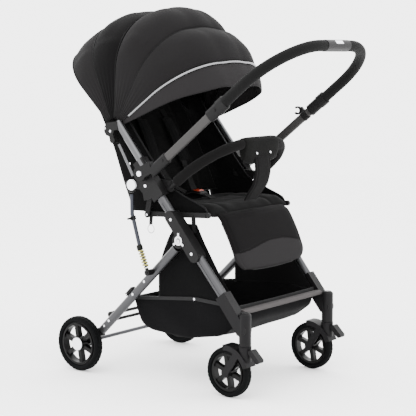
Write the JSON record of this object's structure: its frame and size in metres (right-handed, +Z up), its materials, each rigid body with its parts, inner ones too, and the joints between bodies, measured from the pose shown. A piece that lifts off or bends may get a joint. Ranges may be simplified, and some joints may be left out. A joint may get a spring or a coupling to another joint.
{
  "type": "baby stroller",
  "caption": "Folding stroller with swing-over push handle, pleated hood, padded seat with bumper bar, swivelling front casters and a sagging storage basket.",
  "frame": {"origin": "middle of the bounding box at floor level", "axes": "+X forward towards the footrest, +Y towards the rider's left, +Z up"},
  "size_m": [0.9342, 0.566, 1.1434],
  "materials": {
    "leg_metal": "satin anodised grey",
    "arm_metal": "satin warm grey",
    "bright_metal": "satin",
    "axle_steel": "brushed",
    "strut_metal": "satin blue grey",
    "spring": "satin olive",
    "black_plastic": "moulded",
    "grey_plastic": "moulded",
    "white_plastic": "moulded",
    "tyre": "ribbed",
    "foam": "closed cell",
    "hood_fabric": "woven",
    "pad_fabric": "woven",
    "foot_fabric": "leather-look",
    "mesh_fabric": "woven",
    "buckle_plastic": "moulded"
  },
  "bodies": {
    "rear_frame": {"rear_legs": "leg_metal", "rear_leg_ends": "black_plastic", "rear_axle": "axle_steel", "leg_rivets": "bright_metal", "storage_clip": "black_plastic", "strut_seats": "black_plastic"},
    "struts": {"strut_tubes": "strut_metal", "strut_springs": "spring", "strut_pegs": "black_plastic"},
    "brake": {"brake_bar": "black_plastic"},
    "rear_wheel_right": {"rear_rim_right": "black_plastic", "rear_tyre_right": "tyre", "rear_cap_right": "white_plastic"},
    "rear_wheel_left": {"rear_rim_left": "black_plastic", "rear_tyre_left": "tyre", "rear_cap_left": "white_plastic"},
    "front_frame": {"front_legs": "leg_metal", "fold_covers": "black_plastic", "fold_pivots": "bright_metal", "frame_housings": "black_plastic", "latch_discs": "white_plastic", "upper_tubes": "leg_metal", "hood_hinges": "black_plastic", "columns": "black_plastic", "front_cross_bar": "grey_plastic", "seat_rails": "black_plastic", "seat_pad": "pad_fabric", "buckle": "buckle_plastic", "side_wings": "pad_fabric", "bumper_bar": "black_plastic", "bumper_pad": "pad_fabric", "basket": "mesh_fabric", "basket_rim": "mesh_fabric", "strap_ring": "bright_metal"},
    "backrest": {"backrest_pad": "pad_fabric", "harness": "pad_fabric"},
    "footrest": {"footrest_pad": "foot_fabric"},
    "hood_rib_2": {"hood_bow_2": "black_plastic", "hood_panel_1": "hood_fabric"},
    "hood_rib_3": {"hood_bow_3": "black_plastic", "hood_panel_2": "hood_fabric"},
    "hood_rib_4": {"hood_bow_4": "black_plastic", "hood_panel_3": "hood_fabric"},
    "hood_rib_5": {"hood_bow_5": "black_plastic", "hood_panel_4": "hood_fabric", "hood_visor": "hood_fabric"},
    "handle": {"arm_tubes": "arm_metal", "arm_fittings": "black_plastic", "bag_hook": "black_plastic", "grip": "foam", "grip_control": "grey_plastic"},
    "button": {"fold_button": "white_plastic"},
    "caster_right": {"fork_right": "black_plastic"},
    "caster_left": {"fork_left": "black_plastic"},
    "front_wheel_right": {"front_rim_right": "black_plastic", "front_tyre_right": "tyre"},
    "front_wheel_left": {"front_rim_left": "black_plastic", "front_tyre_left": "tyre"},
    "pedal_right": {"lock_pedal_right": "black_plastic"},
    "pedal_left": {"lock_pedal_left": "black_plastic"}
  },
  "joints": [
    {"name": "fold", "type": "hinge", "parent": "rear_frame", "child": "front_frame", "pos_m": [0.065, 0, 0.45], "axis": [0, 1, 0], "range_deg": [0, 54], "deforming": ["basket", "basket_rim"]},
    {"name": "strut_swing", "type": "hinge", "parent": "rear_frame", "child": "struts", "pos_m": [-0.046, 0, 0.346], "axis": [0, 1, 0], "range_deg": [0, 36.01]},
    {"name": "brake_press", "type": "hinge", "parent": "rear_frame", "child": "brake", "pos_m": [-0.244, 0, 0.184], "axis": [0, 1, 0], "range_deg": [0, 18]},
    {"name": "rear_spin_right", "type": "hinge", "parent": "rear_frame", "child": "rear_wheel_right", "pos_m": [-0.3348, -0.253, 0.0875], "axis": [0, 1, 0], "continuous": true},
    {"name": "rear_spin_left", "type": "hinge", "parent": "rear_frame", "child": "rear_wheel_left", "pos_m": [-0.3348, 0.253, 0.0875], "axis": [0, 1, 0], "continuous": true},
    {"name": "handle_reverse", "type": "hinge", "parent": "front_frame", "child": "handle", "pos_m": [-0.066, 0, 0.646], "axis": [0, -1, 0], "range_deg": [0, 107]},
    {"name": "button_press", "type": "slide", "parent": "handle", "child": "button", "axis": [-0.7852, 0, -0.6192], "range_m": [0, 0.003], "stiffness_N_per_m": 600, "springref_m": -0.002},
    {"name": "backrest_recline", "type": "hinge", "parent": "front_frame", "child": "backrest", "pos_m": [-0.146, 0, 0.556], "axis": [0, -1, 0], "range_deg": [0, 38]},
    {"name": "footrest_lift", "type": "hinge", "parent": "front_frame", "child": "footrest", "pos_m": [0.162, 0, 0.519], "axis": [0, -1, 0], "range_deg": [0, 70]},
    {"name": "hood_fold", "type": "hinge", "parent": "front_frame", "child": "hood_rib_2", "pos_m": [-0.205, 0, 0.772], "axis": [0, -1, 0], "range_deg": [0, 15], "deforming": ["hood_panel_1"]},
    {"name": "hood_fold_3", "type": "hinge", "parent": "hood_rib_2", "child": "hood_rib_3", "pos_m": [-0.205, 0, 0.772], "axis": [0, -1, 0], "range_deg": [0, 18.01], "deforming": ["hood_panel_2"]},
    {"name": "hood_fold_4", "type": "hinge", "parent": "hood_rib_3", "child": "hood_rib_4", "pos_m": [-0.205, 0, 0.772], "axis": [0, -1, 0], "range_deg": [0, 18.01], "deforming": ["hood_panel_3"]},
    {"name": "hood_fold_5", "type": "hinge", "parent": "hood_rib_4", "child": "hood_rib_5", "pos_m": [-0.205, 0, 0.772], "axis": [0, -1, 0], "range_deg": [0, 17.01], "deforming": ["hood_panel_4"]},
    {"name": "swivel_right", "type": "hinge", "parent": "front_frame", "child": "caster_right", "pos_m": [0.292, -0.221, 0.2], "axis": [0, 0, 1], "continuous": true},
    {"name": "front_spin_right", "type": "hinge", "parent": "caster_right", "child": "front_wheel_right", "pos_m": [0.2348, -0.221, 0.0754], "axis": [0, 1, 0], "continuous": true},
    {"name": "lock_right", "type": "hinge", "parent": "caster_right", "child": "pedal_right", "pos_m": [0.319, -0.221, 0.1454], "axis": [0, 1, 0], "range_deg": [0, 20]},
    {"name": "swivel_left", "type": "hinge", "parent": "front_frame", "child": "caster_left", "pos_m": [0.292, 0.221, 0.2], "axis": [0, 0, 1], "continuous": true},
    {"name": "front_spin_left", "type": "hinge", "parent": "caster_left", "child": "front_wheel_left", "pos_m": [0.2348, 0.221, 0.0754], "axis": [0, 1, 0], "continuous": true},
    {"name": "lock_left", "type": "hinge", "parent": "caster_left", "child": "pedal_left", "pos_m": [0.319, 0.221, 0.1454], "axis": [0, 1, 0], "range_deg": [0, 20]}
  ],
  "couplings": [
    {"joint": "strut_swing", "follows": "fold", "ratio": 0.66667},
    {"joint": "hood_fold_3", "follows": "hood_fold", "ratio": 1.2},
    {"joint": "hood_fold_4", "follows": "hood_fold", "ratio": 1.2},
    {"joint": "hood_fold_5", "follows": "hood_fold", "ratio": 1.1333}
  ]
}
